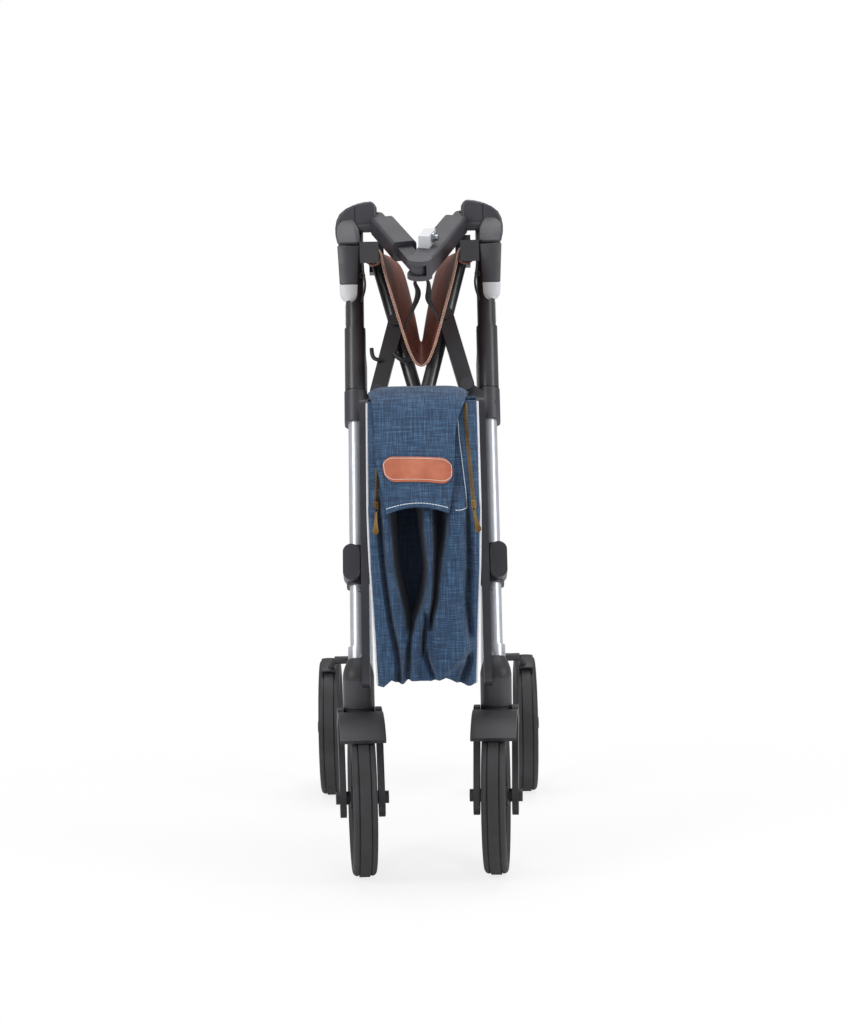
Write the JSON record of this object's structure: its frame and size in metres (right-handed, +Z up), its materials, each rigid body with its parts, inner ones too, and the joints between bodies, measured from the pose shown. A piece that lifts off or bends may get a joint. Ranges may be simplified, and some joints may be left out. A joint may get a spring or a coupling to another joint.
{
  "type": "shopping rollator",
  "caption": "Folded shopping rollator with a scissor brace, a fabric bag, a sling seat, hand brakes and a folding push bar.",
  "frame": {"origin": "on the floor, in the middle between the four wheels", "axes": "+X to the object's right as seen from the front, +Y to the rear, +Z up"},
  "size_m": [0.3252, 0.7161, 0.86],
  "materials": {
    "tyre_rubber": "matt",
    "wheel_plastic": "satin",
    "frame_silver": "satin",
    "denim": "woven",
    "seat_leather": "satin",
    "webbing": "woven",
    "zip_brass": "satin",
    "steel": "satin",
    "frame_black": "satin",
    "grip_rubber": "matt",
    "cable_rubber": "satin",
    "black_plastic": "satin"
  },
  "bodies": {
    "frame_left": {"left_front_leg": "frame_silver", "left_post_sleeve": "black_plastic", "left_rear_leg": "frame_silver", "left_apex_bracket": "black_plastic", "left_side_strut": "frame_black", "left_leg_clamp": "black_plastic", "left_axle_carrier": "frame_black", "left_steering_head": "black_plastic", "left_bag_board": "black_plastic"},
    "frame_right": {"right_front_leg": "frame_silver", "right_post_sleeve": "black_plastic", "right_rear_leg": "frame_silver", "right_apex_bracket": "black_plastic", "right_side_strut": "frame_black", "right_leg_clamp": "black_plastic", "right_axle_carrier": "frame_black", "right_steering_head": "black_plastic", "right_bag_board": "black_plastic"},
    "brace_front": {"brace_front": "frame_black"},
    "brace_rear": {"brace_rear": "frame_black"},
    "link_left": {"left_link": "frame_black"},
    "collar_left": {"left_collar": "black_plastic"},
    "rail_left": {"left_seat_rail": "frame_black"},
    "post_left": {"left_post": "frame_black", "left_handle_head": "black_plastic", "left_grip": "grip_rubber", "left_brake_cable": "cable_rubber"},
    "brake_lever_left": {"left_brake_lever": "black_plastic"},
    "brake_shoe_left": {"left_brake_shoe": "black_plastic"},
    "caster_left": {"left_fork": "black_plastic", "left_front_axle": "steel"},
    "front_wheel_left": {"left_front_tyre": "tyre_rubber", "left_front_rim": "wheel_plastic"},
    "rear_wheel_left": {"left_rear_tyre": "tyre_rubber", "left_rear_rim": "wheel_plastic"},
    "zip_left": {"left_zip_pull": "zip_brass"},
    "link_right": {"right_link": "frame_black"},
    "collar_right": {"right_collar": "black_plastic"},
    "rail_right": {"right_seat_rail": "frame_black"},
    "post_right": {"right_post": "frame_black", "right_handle_head": "black_plastic", "right_grip": "grip_rubber", "right_brake_cable": "cable_rubber"},
    "brake_lever_right": {"right_brake_lever": "black_plastic"},
    "brake_shoe_right": {"right_brake_shoe": "black_plastic"},
    "caster_right": {"right_fork": "black_plastic", "right_front_axle": "steel"},
    "front_wheel_right": {"right_front_tyre": "tyre_rubber", "right_front_rim": "wheel_plastic"},
    "rear_wheel_right": {"right_rear_tyre": "tyre_rubber", "right_rear_rim": "wheel_plastic"},
    "zip_right": {"right_zip_pull": "zip_brass"},
    "seat_left": {"seat_sling_left": "seat_leather", "pull_strap": "webbing"},
    "seat_right": {"seat_sling_right": "seat_leather"},
    "bar_left": {"push_bar_left": "black_plastic"},
    "bar_right": {"push_bar_right": "black_plastic"},
    "latch": {"latch_pin": "steel"},
    "bag_middle": {"bag_flap": "denim"},
    "bag_right": {"bag_fabric": "denim"}
  },
  "joints": [
    {"name": "fold", "type": "hinge", "parent": "frame_left", "child": "brace_front", "pos_m": [-0.05859, -0.16716, 0.37169], "axis": [0, 0.9272, -0.3746], "range_deg": [0, 25.84]},
    {"name": "brace_cross", "type": "hinge", "parent": "brace_front", "child": "brace_rear", "pos_m": [0, -0.07256, 0.5778], "axis": [0, 0.9272, -0.3746], "range_deg": [-52.2, 0.2]},
    {"name": "frame_right_pivot", "type": "hinge", "parent": "brace_rear", "child": "frame_right", "pos_m": [0.05859, -0.14769, 0.36382], "axis": [0, 0.9272, -0.3746], "range_deg": [-0.2, 26.36]},
    {"name": "link_right_top", "type": "hinge", "parent": "brace_front", "child": "link_right", "pos_m": [0.0328, -0.03478, 0.69933], "axis": [0, 0.9272, -0.3746], "range_deg": [-52.2, 0.2]},
    {"name": "collar_right_pivot", "type": "hinge", "parent": "link_right", "child": "collar_right", "pos_m": [0.05859, -0.07214, 0.60687], "axis": [0, 0.9272, -0.3746], "range_deg": [-0.2, 26.36]},
    {"name": "link_left_top", "type": "hinge", "parent": "brace_rear", "child": "link_left", "pos_m": [-0.0328, -0.01531, 0.69146], "axis": [0, 0.9272, -0.3746], "range_deg": [-0.2, 52.2]},
    {"name": "collar_left_pivot", "type": "hinge", "parent": "link_left", "child": "collar_left", "pos_m": [-0.05859, -0.05267, 0.599], "axis": [0, 0.9272, -0.3746], "range_deg": [-26.36, 0.2]},
    {"name": "rail_right_pivot", "type": "hinge", "parent": "brace_front", "child": "rail_right", "pos_m": [0.05859, 0.00257, 0.79179], "axis": [0, 0.9272, -0.3746], "range_deg": [-26.36, 0.2]},
    {"name": "rail_left_pivot", "type": "hinge", "parent": "brace_rear", "child": "rail_left", "pos_m": [-0.05859, 0.02204, 0.78392], "axis": [0, 0.9272, -0.3746], "range_deg": [-0.2, 26.36]},
    {"name": "seat_left_lift", "type": "slide", "parent": "rail_left", "child": "seat_left", "axis": [0.5501, 0, 0.8351], "range_m": [-0.001, 0.17221], "deforming": ["seat_sling_left", "pull_strap"]},
    {"name": "seat_right_lift", "type": "slide", "parent": "rail_right", "child": "seat_right", "axis": [-0.5501, 0, 0.8351], "range_m": [-0.001, 0.17221], "deforming": ["seat_sling_right"]},
    {"name": "bag_middle_stretch", "type": "slide", "parent": "frame_left", "child": "bag_middle", "axis": [1, 0, 0], "range_m": [-0.001, 0.09474]},
    {"name": "bag_right_stretch", "type": "slide", "parent": "frame_left", "child": "bag_right", "axis": [1, 0, 0], "range_m": [-0.001, 0.18948], "deforming": ["bag_fabric"]},
    {"name": "handle_height", "type": "slide", "parent": "frame_left", "child": "post_left", "axis": [0, 0.3746, 0.9272], "range_m": [0, 0.1]},
    {"name": "handle_height_right", "type": "slide", "parent": "frame_right", "child": "post_right", "axis": [0, 0.3746, 0.9272], "range_m": [-0.001, 0.101]},
    {"name": "push_bar_left_pivot", "type": "hinge", "parent": "post_left", "child": "bar_left", "pos_m": [-0.05859, 0.027, 0.837], "axis": [0, -0.3057, 0.9521], "range_deg": [-0.2, 26.36]},
    {"name": "push_bar_middle", "type": "hinge", "parent": "bar_left", "child": "bar_right", "pos_m": [0, -0.1887, 0.76775], "axis": [0, -0.3057, 0.9521], "range_deg": [-52.2, 0.2]},
    {"name": "latch_pull", "type": "slide", "parent": "bar_right", "child": "latch", "axis": [0.9681, -0.2384, -0.0765], "range_m": [0, 0.005], "stiffness_N_per_m": 400},
    {"name": "caster_left", "type": "hinge", "parent": "frame_left", "child": "caster_left", "pos_m": [-0.088, -0.213, 0.2], "axis": [0, 0, -1], "continuous": true},
    {"name": "front_wheel_left", "type": "hinge", "parent": "caster_left", "child": "front_wheel_left", "pos_m": [-0.08486, -0.25789, 0.1], "axis": [0.9976, 0.0698, 0], "continuous": true},
    {"name": "rear_wheel_left", "type": "hinge", "parent": "frame_left", "child": "rear_wheel_left", "pos_m": [-0.143, 0.258, 0.1], "axis": [1, 0, 0], "continuous": true},
    {"name": "brake_lever_left", "type": "hinge", "parent": "post_left", "child": "brake_lever_left", "pos_m": [-0.095, -0.022, 0.793], "axis": [-1, 0, 0], "range_deg": [0, 25], "stiffness_Nm_per_rad": 0.6},
    {"name": "brake_shoe_left", "type": "hinge", "parent": "frame_left", "child": "brake_shoe_left", "pos_m": [-0.12, 0.20326, 0.20679], "axis": [-1, 0, 0], "range_deg": [-0.1, 6.1]},
    {"name": "caster_right", "type": "hinge", "parent": "frame_right", "child": "caster_right", "pos_m": [0.088, -0.213, 0.2], "axis": [0, 0, 1], "continuous": true},
    {"name": "front_wheel_right", "type": "hinge", "parent": "caster_right", "child": "front_wheel_right", "pos_m": [0.08486, -0.25789, 0.1], "axis": [0.9976, -0.0698, 0], "continuous": true},
    {"name": "rear_wheel_right", "type": "hinge", "parent": "frame_right", "child": "rear_wheel_right", "pos_m": [0.143, 0.258, 0.1], "axis": [1, 0, 0], "continuous": true},
    {"name": "brake_lever_right", "type": "hinge", "parent": "post_right", "child": "brake_lever_right", "pos_m": [0.095, -0.022, 0.793], "axis": [-1, 0, 0], "range_deg": [0, 25], "stiffness_Nm_per_rad": 0.6},
    {"name": "brake_shoe_right", "type": "hinge", "parent": "frame_right", "child": "brake_shoe_right", "pos_m": [0.12, 0.20326, 0.20679], "axis": [-1, 0, 0], "range_deg": [-0.1, 6.1]},
    {"name": "zip_left", "type": "slide", "parent": "frame_left", "child": "zip_left", "axis": [0, 0.577, 0.8167], "range_m": [0, 0.04]},
    {"name": "zip_right", "type": "slide", "parent": "bag_right", "child": "zip_right", "axis": [0, 0.577, 0.8167], "range_m": [0, 0.04]}
  ],
  "couplings": [
    {"joint": "brace_cross", "follows": "fold", "ratio": -2},
    {"joint": "frame_right_pivot", "follows": "fold", "ratio": 1},
    {"joint": "link_right_top", "follows": "fold", "ratio": -2},
    {"joint": "collar_right_pivot", "follows": "fold", "ratio": 1},
    {"joint": "link_left_top", "follows": "fold", "ratio": 2},
    {"joint": "collar_left_pivot", "follows": "fold", "ratio": -1},
    {"joint": "rail_right_pivot", "follows": "fold", "ratio": -1},
    {"joint": "rail_left_pivot", "follows": "fold", "ratio": 1},
    {"joint": "seat_left_lift", "follows": "fold", "m_per_rad": 0.37438},
    {"joint": "seat_right_lift", "follows": "fold", "m_per_rad": 0.37438},
    {"joint": "bag_middle_stretch", "follows": "fold", "m_per_rad": 0.20596},
    {"joint": "bag_right_stretch", "follows": "fold", "m_per_rad": 0.41191},
    {"joint": "handle_height_right", "follows": "handle_height", "ratio": 1},
    {"joint": "push_bar_left_pivot", "follows": "fold", "ratio": 1},
    {"joint": "push_bar_middle", "follows": "fold", "ratio": -2},
    {"joint": "brake_shoe_left", "follows": "brake_lever_left", "ratio": 0.24},
    {"joint": "brake_shoe_right", "follows": "brake_lever_right", "ratio": 0.24}
  ]
}
